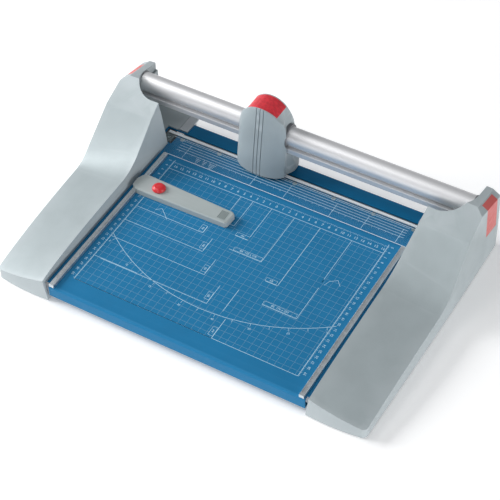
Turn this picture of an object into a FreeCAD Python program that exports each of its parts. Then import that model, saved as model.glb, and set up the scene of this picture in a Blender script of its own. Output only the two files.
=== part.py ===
"""Rotary paper trimmer: folded steel table, two plastic cheeks with towers, a round guide bar, a sliding
cutting head with a round blade, a sprung clear clamp strip and a sliding backstop.

Millimetres. X runs along the cut, +Y to the back, +Z up. The origin is on the floor under the middle.
"""
import FreeCAD, Part
import math
import os
import re

import Sketcher
from FreeCAD import Placement, Rotation, Vector

doc = FreeCAD.newDocument("PaperTrimmer")

# ---------------------------------------------------------------- driving sizes
SIZES = [
    ("depth_half", 188, "half of the overall depth"),
    ("table_top", 28, "top face of the table"),
    ("gauge", 2, "sheet thickness of the table"),
    ("table_half", 189, "half width of the folded table, between the cheeks"),
    ("table_front", 184.5, "front skirt's outer face, ahead of the origin"),
    ("table_rear", 169.5, "rear skirt's outer face, behind the origin"),
    ("skirt_bottom", 10, "lower edge of the skirts"),
    ("lip", 8, "return lip of the skirts"),
    ("fold_radius", 4, "outer radius of the folds"),
    ("plate_half", 212, "half width of the table plate with its ends under the cheeks"),
    ("cut_line", 140, "cutting edge of the fixed blade"),
    ("slot_half", 210, "half length of the blade's slot in the plate"),
    ("slot_rear", 146, "rear side of the blade's slot"),
    ("strip_front", 128, "front side of the fixed blade strip"),
    ("strip_half", 190, "half length of the fixed blade strip and its bed"),
    ("rail_inner", 210, "inner side of a base rail's web"),
    ("rail_outer", 264, "outer side of a base rail"),
    ("rail_bottom", 4, "underside of a base rail"),
    ("rail_front", 170, "front end of a base rail, ahead of the origin"),
    ("rail_length", 346, "length of a base rail"),
    ("foot_radius", 12, "rubber foot"),
    ("foot_side", 228, "feet, from the middle"),
    ("foot_spread", 150, "feet ahead of and behind the origin"),
    ("guide_inner", 180.5, "inner edge of a side guide, half the cut width"),
    ("guide_width", 7, "width of a side guide"),
    ("guide_gauge", 5, "height of a side guide"),
    ("rear_guide_width", 13.5, "width of a short rear guide"),
    ("rear_guide_gauge", 3, "thickness of a short rear guide"),
    ("clamp_front", 97, "front edge of the clamp strip"),
    ("clamp_rear", 139, "rear edge of the clamp strip"),
    ("clamp_lift", 1.2, "gap under the clamp strip when it is up"),
    ("clamp_gauge", 1.5, "thickness of the clamp strip"),
    ("clamp_half", 193, "half length of the clamp strip, between the cheeks"),
    ("clamp_reach", 206, "half length of the clamp strip's rear part"),
    ("clamp_bar_gauge", 1.3, "thickness of the clamp bar"),
    ("clamp_bar_half", 204, "half length of the clamp bar"),
    ("post_side", 199.5, "clamp guide post, from the middle"),
    ("post_back", 129, "clamp guide post, behind the origin"),
    ("post_radius", 2.5, "clamp guide post"),
    ("bar_back", 155.5, "guide bar's axis, behind the origin"),
    ("bar_height", 90.4, "guide bar's axis, above the floor"),
    ("bar_radius", 13.5, "guide bar"),
    ("bar_bore", 10.5, "bore radius of the guide bar"),
    ("bar_half", 257.9, "half length of the guide bar"),
    ("flange_half", 13, "half width of the flat rail under the bar"),
    ("flange_top", 77.9, "top of the flat rail"),
    ("flange_gauge", 8.5, "thickness of the flat rail"),
    ("cheek_wall", 2.5, "wall of the cheeks"),
    ("bracket_inner", 258, "inner face of a bar bracket"),
    ("bracket_gauge", 4, "thickness of a bar bracket"),
    ("head_side", -53, "cutting head at rest, along the cut"),
    ("head_bottom", 32.5, "lower edge of the cutting head"),
    ("head_crest", 140.5, "highest point of the cutting head"),
    ("crown_radius", 29.4, "arch over the cutting head"),
    ("cap_half", 22.5, "half width of the red cap"),
    ("head_wall", 2.5, "wall of the cutting head's housing"),
    ("blade_radius", 20, "round blade"),
    ("blade_gauge", 1.2, "thickness of the round blade"),
    ("blade_height", 46.5, "round blade's axis, above the floor"),
    ("blade_back", 140.05, "front face of the round blade"),
    ("axle_radius", 3, "blade's pin"),
    ("roller_radius", 6, "press roller"),
    ("roller_side", 22, "press roller, from the middle of the head"),
    ("roller_height", 38.1, "press roller's axis, above the floor"),
    ("stop_front", 13, "front edge of the backstop"),
    ("stop_width", 30, "width of the backstop"),
    ("stop_left", -193, "left end of the backstop"),
    ("stop_length", 151, "length of the backstop"),
    ("stop_height", 9.5, "thickness of the backstop"),
    ("knob_side", -151.5, "backstop's knob, along the cut"),
    ("knob_back", 26.5, "backstop's knob, behind the origin"),
    ("knob_radius", 9.4, "backstop's knob"),
    ("run", 0.05, "running clearance, on the radius"),
]

sheet = doc.addObject("Spreadsheet::Sheet", "Sizes")
for row, (alias, value, note) in enumerate(SIZES, start=1):
    sheet.set(f"A{row}", note)
    sheet.set(f"B{row}", str(value))
    sheet.setAlias(f"B{row}", alias)
doc.recompute()

NAMES = {alias for alias, _, _ in SIZES}
parts = []


def size(alias):
    """The value of a cell."""
    return float(sheet.get(alias))


def formula(text):
    """An expression in which each known name reads its cell."""
    return re.sub(r"[a-z_]+", lambda m: "Sizes." + m[0] if m[0] in NAMES else m[0], str(text))


def bind(thing, **rules):
    """Binds properties to cells; a double underscore in a name stands for a dot."""
    for name, text in rules.items():
        thing.setExpression(name.replace("__", "."), formula(text))
    return thing


def keep(thing, label):
    """Names a finished sub-part and lists it for the export."""
    thing.Label = label
    parts.append(thing)
    return thing


# ---------------------------------------------------------------- builders
def box(low, dims):
    """A box from the formulas of its lowest corner and of its three dimensions."""
    made = doc.addObject("Part::Box", "Block")
    bind(made, Length=dims[0], Width=dims[1], Height=dims[2])
    return bind(made, Placement__Base__x=low[0], Placement__Base__y=low[1], Placement__Base__z=low[2])


AXIS_TURN = {
    "x": Rotation(Vector(0, 1, 0), 90),
    "y": Rotation(Vector(1, 0, 0), -90),
    "z": Rotation(),
}


def rod(base, radius, length, along="z"):
    """A cylinder that starts at base and runs along a positive axis."""
    made = doc.addObject("Part::Cylinder", "Rod")
    made.Placement = Placement(Vector(), AXIS_TURN[along])
    bind(made, Radius=radius, Height=length)
    return bind(made, Placement__Base__x=base[0], Placement__Base__y=base[1], Placement__Base__z=base[2])


def fuse(*things):
    made = doc.addObject("Part::MultiFuse", "Joined")
    made.Shapes = list(things)
    return made


def cut(base, *tools):
    made = doc.addObject("Part::Cut", "Trimmed")
    made.Base = base
    made.Tool = tools[0] if len(tools) == 1 else fuse(*tools)
    return made


def group(*things):
    """Several separate solids in one node."""
    made = doc.addObject("Part::Compound", "Group")
    made.Links = list(things)
    return made


def mirrored(source, label):
    """The left-hand twin of a right-hand sub-part."""
    made = doc.addObject("Part::Mirroring", "Twin")
    made.Source = source
    made.Normal = (1, 0, 0)
    return keep(made, label)


def new_body(label):
    return keep(doc.addObject("PartDesign::Body", "Body"), label)


def sketch_on(body, role):
    """A sketch on one of the body's own origin planes."""
    sketch = body.newObject("Sketcher::SketchObject", "Sketch")
    plane = next(o for o in body.Origin.OriginFeatures if o.Role == role)
    sketch.AttachmentSupport = [(plane, "")]
    sketch.MapMode = "FlatFace"
    return sketch


def pin_point(sketch, geo, pos, x, y):
    """Ties one end of a line or a centre to two formulas."""
    for kind, text in (("DistanceX", x), ("DistanceY", y)):
        index = sketch.addConstraint(Sketcher.Constraint(kind, -1, 1, geo, pos, 1.0))
        sketch.setExpression(f"Constraints[{index}]", formula(text))


def outline(sketch, corners):
    """A closed outline of straight lines whose corners are pairs of formulas."""
    first = sketch.GeometryCount
    count = len(corners)
    for i in range(count):
        line = Part.LineSegment(Vector(i, i * i + 1, 0), Vector(i + 1, (i + 1) ** 2 + 1, 0))
        sketch.addGeometry(line, False)
    for i in range(count):
        joint = Sketcher.Constraint("Coincident", first + i, 2, first + (i + 1) % count, 1)
        sketch.addConstraint(joint)
    for i, (x, y) in enumerate(corners):
        pin_point(sketch, first + i, 1, x, y)


def circle(sketch, x, y, radius):
    geo = sketch.addGeometry(Part.Circle(Vector(1, 1, 0), Vector(0, 0, 1), 1), False)
    pin_point(sketch, geo, 3, x, y)
    index = sketch.addConstraint(Sketcher.Constraint("Radius", geo, 1.0))
    sketch.setExpression(f"Constraints[{index}]", formula(radius))


def rectangle(sketch, x_low, y_low, x_high, y_high):
    outline(sketch, [(x_low, y_low), (x_high, y_low), (x_high, y_high), (x_low, y_high)])


def pad(body, sketch, length, midplane=False):
    feature = body.newObject("PartDesign::Pad", "Pad")
    feature.Profile = sketch
    feature.Midplane = midplane
    return bind(feature, Length=length)


def pocket_through(body, sketch):
    """Cuts the sketch's outline both ways, through everything."""
    feature = body.newObject("PartDesign::Pocket", "Pocket")
    feature.Profile = sketch
    feature.Midplane = True
    feature.Type = "ThroughAll"
    return feature


def revolve(body, sketch, axis):
    feature = body.newObject("PartDesign::Revolution", "Revolution")
    feature.Profile = sketch
    feature.ReferenceAxis = (sketch, [axis])
    feature.Angle = 360
    return feature


def lift(sketch, offset):
    """Moves a sketch off its plane, along the plane's normal."""
    sketch.AttachmentOffset = Placement(Vector(0, 0, 1), Rotation())
    return bind(sketch, AttachmentOffset__Base__z=offset)


def edges_where(shape, test):
    return [f"Edge{i}" for i, edge in enumerate(shape.Edges, start=1) if test(edge)]


def round_edges(body, base, radius, test):
    """A PartDesign fillet on the edges of base that pass the test."""
    doc.recompute()
    feature = body.newObject("PartDesign::Fillet", "Fillet")
    feature.Base = (base, edges_where(base.Shape, test))
    feature.Radius = radius
    return feature


def bevel_edges(body, base, width, test):
    doc.recompute()
    feature = body.newObject("PartDesign::Chamfer", "Chamfer")
    feature.Base = (base, edges_where(base.Shape, test))
    feature.Size = width
    return feature


def solid_feature(label, shape):
    """A sub-part whose shape is worked out by code from the sheet's sizes."""
    made = doc.addObject("Part::Feature", "Form")
    made.Shape = shape
    return keep(made, label)


def lies_along(edge, axis):
    """True for a straight edge parallel to an axis."""
    if edge.Curve.TypeId != "Part::GeomLine":
        return False
    return abs(edge.Curve.Direction.dot(axis)) > 0.999


ALONG_X, ALONG_Y, ALONG_Z = Vector(1, 0, 0), Vector(0, 1, 0), Vector(0, 0, 1)


# ---------------------------------------------------------------- table and base
CHEEK_SCREWS = [(247, -135), (236, -20), (236, 100)]
BRACKET_SCREWS = [(246, 143.5), (246, 167.5)]
BLADE_SCREWS = [-180 + 60 * i for i in range(7)]
GUIDE_SCREWS = [-170, -60, 60]


def make_table():
    """A folded steel pan; its flat ends run on under the cheeks and carry them."""
    body = new_body("base_table")
    section = sketch_on(body, "YZ_Plane")
    outline(section, [
        ("lip - table_front", "skirt_bottom"),
        ("-table_front", "skirt_bottom"),
        ("-table_front", "table_top"),
        ("table_rear", "table_top"),
        ("table_rear", "skirt_bottom"),
        ("table_rear - lip", "skirt_bottom"),
        ("table_rear - lip", "skirt_bottom + gauge"),
        ("table_rear - gauge", "skirt_bottom + gauge"),
        ("table_rear - gauge", "table_top - gauge"),
        ("gauge - table_front", "table_top - gauge"),
        ("gauge - table_front", "skirt_bottom + gauge"),
        ("lip - table_front", "skirt_bottom + gauge"),
    ])
    pan = pad(body, section, "2 * table_half", midplane=True)
    top, thick = size("table_top"), size("gauge")
    outer = {-size("table_front"), size("table_rear")}
    inner = {thick - size("table_front"), size("table_rear") - thick}

    def is_fold(edge, sides, height):
        middle = edge.CenterOfMass
        return lies_along(edge, ALONG_X) and abs(middle.z - height) < 0.01 and any(
            abs(middle.y - side) < 0.01 for side in sides)

    rounded = round_edges(body, pan, size("fold_radius"), lambda e: is_fold(e, outer, top))
    rounded = round_edges(body, rounded, size("fold_radius") - thick, lambda e: is_fold(e, inner, top - thick))
    ends = lift(sketch_on(body, "XY_Plane"), "table_top - gauge")
    rectangle(ends, "-plate_half", "10 - depth_half", "plate_half", "table_rear - 5")
    pad(body, ends, "gauge")
    openings = sketch_on(body, "XY_Plane")
    outline(openings, [
        ("-strip_half - 0.2", "cut_line - 2.8"),
        ("strip_half + 0.2", "cut_line - 2.8"),
        ("strip_half + 0.2", "119"),
        ("slot_half", "119"),
        ("slot_half", "slot_rear"),
        ("-slot_half", "slot_rear"),
        ("-slot_half", "119"),
        ("-strip_half - 0.2", "119"),
    ])
    for x in BLADE_SCREWS:
        circle(openings, x, "strip_front + 5", 3.3)
    for side in (1, -1):
        for y in GUIDE_SCREWS:
            circle(openings, f"{side} * (guide_inner + guide_width / 2)", y, 1.6)
    pocket_through(body, openings)


def make_rails():
    """A folded rail under each end of the table: top flange, web, wide base flange and outer lip."""
    body = new_body("right_base_rail")
    section = sketch_on(body, "XZ_Plane")
    outline(section, [
        ("rail_inner - 9", "table_top - 2 * gauge"),
        ("rail_inner", "table_top - 2 * gauge"),
        ("rail_inner", "rail_bottom"),
        ("rail_outer", "rail_bottom"),
        ("rail_outer", "rail_bottom + 8"),
        ("rail_outer - gauge", "rail_bottom + 8"),
        ("rail_outer - gauge", "rail_bottom + gauge"),
        ("rail_inner + gauge", "rail_bottom + gauge"),
        ("rail_inner + gauge", "table_top - gauge"),
        ("rail_inner - 9", "table_top - gauge"),
    ])
    pad(body, section, "rail_length")
    bind(body, Placement__Base__y="rail_length - rail_front")
    holes = lift(sketch_on(body, "XY_Plane"), "rail_bottom")
    shift = "(rail_length - rail_front)"
    for end in (-1, 1):
        circle(holes, "foot_side", f"{end} * foot_spread - {shift}", 3.2)
    for x, y in CHEEK_SCREWS:
        circle(holes, x, f"{y} - {shift}", 1.8)
    for x, y in BRACKET_SCREWS:
        circle(holes, x, f"{y} - {shift}", 3.1)
    rectangle(holes, "rail_inner - 10", f"post_back - 16 - {shift}", "rail_inner", f"slot_rear + 1 - {shift}")
    pocket_through(body, holes)
    mirrored(body, "left_base_rail")


def make_foot(label, side, end):
    """A turned rubber foot with a stem that snaps into the rail."""
    body = new_body(label)
    profile = sketch_on(body, "XZ_Plane")
    outline(profile, [
        ("0", "0"),
        ("foot_radius - 1", "0"),
        ("foot_radius", "1"),
        ("foot_radius - 1.5", "rail_bottom"),
        ("3.1", "rail_bottom"),
        ("3.1", "rail_bottom + gauge + 0.2"),
        ("4.4", "rail_bottom + gauge + 0.8"),
        ("2.4", "rail_bottom + gauge + 3"),
        ("0", "rail_bottom + gauge + 3"),
    ])
    revolve(body, profile, "V_Axis")
    bind(body, Placement__Base__x=f"{side} * foot_side", Placement__Base__y=f"{end} * foot_spread")


def make_cutter_bed():
    """An extruded bed under the slot: a rib carries the fixed blade, a tray catches paper dust."""
    body = new_body("cutter_bed")
    section = sketch_on(body, "YZ_Plane")
    outline(section, [
        ("strip_front - 8", "14"),
        ("slot_rear + 8", "14"),
        ("slot_rear + 8", "table_top - gauge"),
        ("slot_rear + 6", "table_top - gauge"),
        ("slot_rear + 6", "16"),
        ("cut_line - 0.1", "16"),
        ("cut_line - 0.1", "table_top - 4"),
        ("strip_front + 0.1", "table_top - 4"),
        ("strip_front + 0.1", "16"),
        ("strip_front - 6", "16"),
        ("strip_front - 6", "table_top - gauge"),
        ("strip_front - 8", "table_top - gauge"),
    ])
    pad(body, section, "2 * strip_half", midplane=True)


def make_counter_blade():
    """The ground steel strip whose rear top edge is the cutting edge."""
    body = new_body("counter_blade")
    section = sketch_on(body, "YZ_Plane")
    outline(section, [
        ("strip_front", "table_top - 4"),
        ("cut_line - 0.6", "table_top - 4"),
        ("cut_line", "table_top - 3"),
        ("cut_line", "table_top"),
        ("cut_line - 2.6", "table_top"),
        ("cut_line - 2.6", "table_top - gauge"),
        ("strip_front", "table_top - gauge"),
    ])
    pad(body, section, "2 * strip_half", midplane=True)
    heads = [countersunk((x, "strip_front + 5", "table_top"), 1.6, 3.2, 3.6) for x in BLADE_SCREWS]
    keep(group(*heads), "counter_blade_screws")
    holes = sketch_on(body, "XY_Plane")
    for x in BLADE_SCREWS:
        circle(holes, x, "strip_front + 5", 3.3)
    pocket_through(body, holes)


def countersunk(top, radius, head_radius, length):
    """A screw with a flat head, its top face at the given point and its shank below."""
    head = doc.addObject("Part::Cone", "Head")
    bind(head, Radius1=radius, Radius2=head_radius, Height=head_radius - radius)
    bind(head, Placement__Base__x=top[0], Placement__Base__y=top[1],
         Placement__Base__z=f"{top[2]} - ({head_radius} - {radius})")
    shank = rod((top[0], top[1], f"{top[2]} - {length}"), radius, f"{length} - ({head_radius} - {radius})")
    return fuse(head, shank)


def make_side_guides():
    """Aluminium rules along both sides of the table, parted where the clamp strip comes down."""
    body = new_body("right_side_guide")
    plan = lift(sketch_on(body, "XY_Plane"), "table_top")
    rectangle(plan, "guide_inner", "-table_front", "guide_inner + guide_width", "clamp_front - 1.5")
    strip = pad(body, plan, "guide_gauge")
    top = size("table_top") + size("guide_gauge")
    bevel_edges(body, strip, 0.6, lambda e: lies_along(e, ALONG_Y) and abs(e.CenterOfMass.z - top) < 0.01)
    holes = lift(sketch_on(body, "XY_Plane"), "table_top")
    for y in GUIDE_SCREWS:
        circle(holes, "guide_inner + guide_width / 2", y, 1.55)
    drill = body.newObject("PartDesign::Pocket", "Pocket")
    drill.Profile = holes
    drill.Reversed = True
    drill.Length = 3.5
    mirrored(body, "left_side_guide")
    rear = new_body("right_rear_guide")
    plan = lift(sketch_on(rear, "XY_Plane"), "table_top")
    rectangle(plan, "guide_inner", "slot_rear + 1", "guide_inner + rear_guide_width", "depth_half - 10")
    strip = pad(rear, plan, "rear_guide_gauge")
    rear_top = size("table_top") + size("rear_guide_gauge")
    bevel_edges(rear, strip, 0.6, lambda e: lies_along(e, ALONG_Y) and abs(e.CenterOfMass.z - rear_top) < 0.01)
    mirrored(rear, "left_rear_guide")
    screws = []
    for side in (1, -1):
        x = f"{side} * (guide_inner + guide_width / 2)"
        for y in GUIDE_SCREWS:
            head = rod((x, y, "table_top - gauge - 2"), 2.8, 2)
            screws.append(fuse(head, rod((x, y, "table_top - gauge - 0.5"), 1.5, "gauge + 3.5")))
    keep(group(*screws), "side_guide_screws")


# ---------------------------------------------------------------- cheeks
# Top lines of a cheek, front to back, as (y, z): first along its inner edge, then along its outer edge.
# They are a long gentle arch, a sweep up to the tower, a crease, the tower's front facet and its top.
INNER_TOP = [(-190, 34.5), (-150, 45), (4, 47.4), (29, 48), (50, 61.5), (94, 89), (137, 111.8), (190, 101.9)]
OUTER_TOP = [(-190, 15), (-125, 28), (10, 31.6), (26.6, 32.1), (43, 46.3), (93, 88.5), (138, 108.3), (190, 96.3)]
SECTION_NEAR, SECTION_FAR = 184.0, 290.0
EDGE_NEAR, EDGE_FAR = 198.0, 274.0
BOW_MIDDLE, BOW_RADIUS = 218.0, 340.0
WALL_LEAN = 0.136
WALL_FOOT = 190.6
# A plane that bevels the tower's outer top edge: where it starts along X, and how it falls along X and Y.
BEVEL_SIDE, BEVEL_BACK, BEVEL_TOP = 264.0, 110.0, 114.5
BEVEL_FALL_X, BEVEL_FALL_Y = 0.64, 0.224
SIDE_FOOT, SIDE_LEAN = 279.0, 0.045
WELL_INNER, WELL_REAR, WELL_STEP = 180.0, 210.0, 86.0


def section_wire(x):
    """The cheek's side view at one distance from the middle, from the two top lines."""
    share = (x - EDGE_NEAR) / (EDGE_FAR - EDGE_NEAR)
    line = [Vector(x, a[0] + share * (b[0] - a[0]), a[1] + share * (b[1] - a[1]))
            for a, b in zip(INNER_TOP, OUTER_TOP)]
    low_front = Vector(x, line[0].y, -5)
    low_rear = Vector(x, line[-1].y, -5)
    return Part.Wire([
        Part.makeLine(low_front, line[0]),
        Part.Edge(bezier(line[0], line[1], line[2])),
        Part.Edge(bezier(line[2], line[3], line[4])),
        Part.makeLine(line[4], line[5]),
        Part.makeLine(line[5], line[6]),
        Part.makeLine(line[6], line[7]),
        Part.makeLine(line[7], low_rear),
        Part.makeLine(low_rear, low_front),
    ])


def bezier(*poles):
    curve = Part.BezierCurve()
    curve.setPoles(list(poles))
    return curve


def prism(points, vector):
    """A closed polygon pushed along a vector."""
    return Part.Face(Part.makePolygon(points + points[:1])).extrude(vector)


def cheek_plan(inset):
    """The cheek's outline from above: bowed front, slightly bowed outer side, rounded corners."""
    front, side, rear = inset - size("depth_half"), 278 - inset, size("depth_half") - inset
    inner = 180.0
    corner = side - 13

    def bowed(x):
        return Vector(x, front + BOW_RADIUS - math.sqrt(BOW_RADIUS ** 2 - (x - BOW_MIDDLE) ** 2), 0)

    start, turn = bowed(inner), bowed(corner)
    edges = [
        Part.Arc(start, Vector(BOW_MIDDLE, front, 0), turn),
        Part.Arc(turn, Vector(side - 7.6, front + 6, 0), Vector(side - 6, front + 11, 0)),
        Part.Arc(Vector(side - 6, front + 11, 0), Vector(side - 1.6, 0, 0), Vector(side, rear - 5, 0)),
        Part.Arc(Vector(side, rear - 5, 0), Vector(side - 1.4, rear - 1.4, 0), Vector(side - 5, rear, 0)),
        Part.LineSegment(Vector(side - 5, rear, 0), Vector(inner, rear, 0)),
        Part.LineSegment(Vector(inner, rear, 0), start),
    ]
    wire = Part.Wire([curve.toShape() for curve in edges])
    return Part.Face(wire).extrude(Vector(0, 0, 150))


def cheek_block(inset):
    """The cheek's outer form, or with an inset the form inside its walls."""
    ruled = Part.makeLoft([section_wire(SECTION_NEAR), section_wire(SECTION_FAR)], True, True)
    ruled.translate(Vector(0, 0, -1.2 * inset))
    foot = WALL_FOOT + inset
    wedge = prism([Vector(foot, -200, 0), Vector(300, -200, 0), Vector(300, -200, 130),
                   Vector(foot + 130 * WALL_LEAN, -200, 130)], Vector(0, 400, 0))
    reach, run_back, low = 20, 90, BEVEL_TOP - 1.2 * inset
    bevel = prism([Vector(BEVEL_SIDE, BEVEL_BACK, low), Vector(BEVEL_SIDE + reach, BEVEL_BACK, low - BEVEL_FALL_X * reach),
                   Vector(BEVEL_SIDE + reach, BEVEL_BACK, 150), Vector(BEVEL_SIDE, BEVEL_BACK, 150)],
                  Vector(0, run_back, -BEVEL_FALL_Y * run_back))
    side = SIDE_FOOT - inset
    lean = prism([Vector(side, -200, 0), Vector(side + 20, -200, 0), Vector(side + 20, -200, 150),
                  Vector(side - 150 * SIDE_LEAN, -200, 150)], Vector(0, 400, 0))
    return ruled.common(cheek_plan(inset)).common(wedge).cut(bevel).cut(lean)


def well_outline(grow, front, end, corner_x, corner_y):
    """The plan of the bay that the cutting head parks in: open inwards and to the back."""
    y_front, x_end = front - grow, end + grow
    turn, straight = Vector(x_end - corner_x, y_front, 0), Vector(x_end, y_front + corner_y, 0)
    ease = 0.448
    edges = [
        Part.makeLine(Vector(WELL_INNER, y_front, 0), turn),
        Part.Edge(bezier(turn, Vector(x_end - ease * corner_x, y_front, 0),
                         Vector(x_end, y_front + ease * corner_y, 0), straight)),
        Part.makeLine(straight, Vector(x_end, WELL_REAR, 0)),
        Part.makeLine(Vector(x_end, WELL_REAR, 0), Vector(WELL_INNER, WELL_REAR, 0)),
        Part.makeLine(Vector(WELL_INNER, WELL_REAR, 0), Vector(WELL_INNER, y_front, 0)),
    ]
    return Part.Face(Part.Wire(edges))


def well(grow):
    """The parking bay, with a wider rim above the step where the bar goes in."""
    floor = size("table_top") + 2 - grow
    lower = well_outline(grow, 117, 251.5, 14, 14).extrude(Vector(0, 0, WELL_STEP - floor))
    lower.translate(Vector(0, 0, floor))
    upper = well_outline(grow, 116, 254.5, 39, 46).extrude(Vector(0, 0, 60))
    upper.translate(Vector(0, 0, WELL_STEP - 0.01))
    return lower.fuse(upper)


def bar_form(radius, spread, gap, x_low, x_high):
    """The guide bar's round head and flat rail between two places along X, grown by a gap."""
    y, z = size("bar_back"), size("bar_height")
    head = Part.makeCylinder(radius, x_high - x_low, Vector(x_low, y, z), ALONG_X)
    low = size("flange_top") - size("flange_gauge") - gap
    rail = Part.makeBox(x_high - x_low, 2 * spread, size("flange_top") + gap - low,
                        Vector(x_low, y - spread, low))
    return head.fuse(rail)


ACCENT = [(146, 125), (146, 50.5), (178.5, 45), (177.5, 125)]
ACCENT_INNER = 266


def accent_region():
    """Where the red insert lies: a flag on the tower's outer side that folds over its top edge."""
    return prism([Vector(ACCENT_INNER, y, z) for y, z in ACCENT], Vector(20, 0, 0))


def make_cheeks():
    """A hollow plastic cheek, its red insert and their twins."""
    outer = cheek_block(0)
    cavity = cheek_block(size("cheek_wall")).cut(well(size("cheek_wall")))
    shell = outer.cut(well(0)).cut(cavity)
    plate_bay = Part.makeBox(33, 366, 40, Vector(180, -182, size("table_top") - 40))
    blade_bay = Part.makeBox(34, 30, 10, Vector(178, 117, size("table_top") - 5))
    bar_way = bar_form(size("bar_radius") + 0.2, size("flange_half") + 0.3, 0.3, 240, 258.2)
    ring_bay = Part.makeCylinder(size("bar_radius") + 1, 14.5, Vector(240, size("bar_back"), size("bar_height")), ALONG_X)
    shell = shell.cut(plate_bay).cut(blade_bay).cut(bar_way).cut(ring_bay)
    floor_line = Part.makeBox(400, 400, 20, Vector(0, -200, -18.5))
    shell = shell.cut(floor_line)
    for x, y in CHEEK_SCREWS:
        seat = Vector(x, y, size("rail_bottom") + size("gauge"))
        post = Part.makeCylinder(5, 100, seat, ALONG_Z).common(outer).cut(well(0))
        drill = Part.makeCylinder(1.7, 14, seat, ALONG_Z)
        shell = shell.fuse(post).cut(drill)
    insert = biggest(outer.cut(cheek_block(1.2)).common(accent_region()))
    shell = shell.cut(insert)
    right = solid_feature("right_cheek_shell", biggest(shell.removeSplitter()))
    mirrored(right, "left_cheek_shell")
    mirrored(solid_feature("right_accent_cap", insert), "left_accent_cap")
    screws = []
    for side in (1, -1):
        for x, y in CHEEK_SCREWS:
            head = rod((side * x, y, "rail_bottom - 2"), 3.5, 2)
            screws.append(fuse(head, rod((side * x, y, "rail_bottom - 0.5"), 1.65, 13)))
    keep(group(*screws), "cheek_screws")


def biggest(shape):
    """The largest solid of a shape."""
    return max(shape.Solids, key=lambda solid: solid.Volume)


# ---------------------------------------------------------------- guide bar and its ends
def bar_cutters(low_x, length, radius, spread, low_z, high_z):
    """Part primitives in the form of the bar: a round head and its flat rail."""
    head = rod((low_x, "bar_back", "bar_height"), radius, length, "x")
    rail = box((low_x, f"bar_back - ({spread})", low_z), (length, f"2 * ({spread})", f"({high_z}) - ({low_z})"))
    return head, rail


def make_bar():
    """An extruded bar: a round tube on a flat rail, closed by threaded plugs."""
    head, rail = bar_cutters("-bar_half", "2 * bar_half", "bar_radius", "flange_half",
                             "flange_top - flange_gauge", "flange_top")
    bore = rod(("-bar_half - 1", "bar_back", "bar_height"), "bar_bore", "2 * bar_half + 2", "x")
    keep(cut(fuse(head, rail), bore), "guide_bar")
    plugs = []
    bolts = []
    for side in (1, -1):
        low = "bar_half - 24" if side > 0 else "-bar_half"
        slug = rod((low, "bar_back", "bar_height"), "bar_bore - run", "24", "x")
        hole = rod((f"{low} - 1", "bar_back", "bar_height"), "4 + run", "26", "x")
        plugs.append(cut(slug, hole))
        head_low = "bracket_inner + bracket_gauge" if side > 0 else "-bracket_inner - bracket_gauge - 6"
        shank_low = "bracket_inner - 20" if side > 0 else "-bracket_inner - bracket_gauge"
        cap = rod((head_low, "bar_back", "bar_height"), 6.5, "6", "x")
        socket_low = f"{head_low} + 2" if side > 0 else f"{head_low} - 1"
        socket = rod((socket_low, "bar_back", "bar_height"), 3, "5", "x")
        shank = rod((shank_low, "bar_back", "bar_height"), 4, "20 + bracket_gauge", "x")
        bolts.append(cut(fuse(cap, shank), socket))
    keep(group(*plugs), "bar_end_plugs")
    keep(group(*bolts), "bar_end_bolts")


def make_brackets():
    """Steel uprights inside the towers: a plate with chamfered shoulders and a foot."""
    body = new_body("right_bar_bracket")
    face = lift(sketch_on(body, "YZ_Plane"), "bracket_inner")
    outline(face, [
        ("bar_back - 20", "rail_bottom + gauge"),
        ("bar_back + 20", "rail_bottom + gauge"),
        ("bar_back + 20", "bar_height - 8"),
        ("bar_back + 10", "bar_height + 7"),
        ("bar_back - 12", "bar_height + 7"),
        ("bar_back - 20", "bar_height"),
    ])
    circle(face, "bar_back", "bar_height", 4.3)
    pad(body, face, "bracket_gauge")
    foot = lift(sketch_on(body, "XY_Plane"), "rail_bottom + gauge")
    rectangle(foot, "bracket_inner - 18", "bar_back - 20", "bracket_inner + 1", "bar_back + 20")
    pad(body, foot, "bracket_gauge")
    holes = sketch_on(body, "XY_Plane")
    for x, y in BRACKET_SCREWS:
        circle(holes, x, y, 3.2)
    pocket_through(body, holes)
    mirrored(body, "left_bar_bracket")
    screws = []
    for side in (1, -1):
        for x, y in BRACKET_SCREWS:
            head = rod((side * x, y, "rail_bottom + gauge + bracket_gauge"), 4, 4)
            shank = rod((side * x, y, "rail_bottom + 0.2"), 3, "gauge + bracket_gauge + 1")
            screws.append(fuse(head, shank))
    keep(group(*screws), "bracket_screws")
    ring = rod(("bracket_inner - 5.6", "bar_back", "bar_height"), "bar_radius + 0.9", "2", "x")
    head, rail = bar_cutters("bracket_inner - 7", "5", "bar_radius + run", "flange_half + 0.3",
                             "flange_top - flange_gauge - 8", "flange_top + 0.3")
    mirrored(keep(cut(ring, head, rail), "right_bar_grommet"), "left_bar_grommet")


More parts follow.
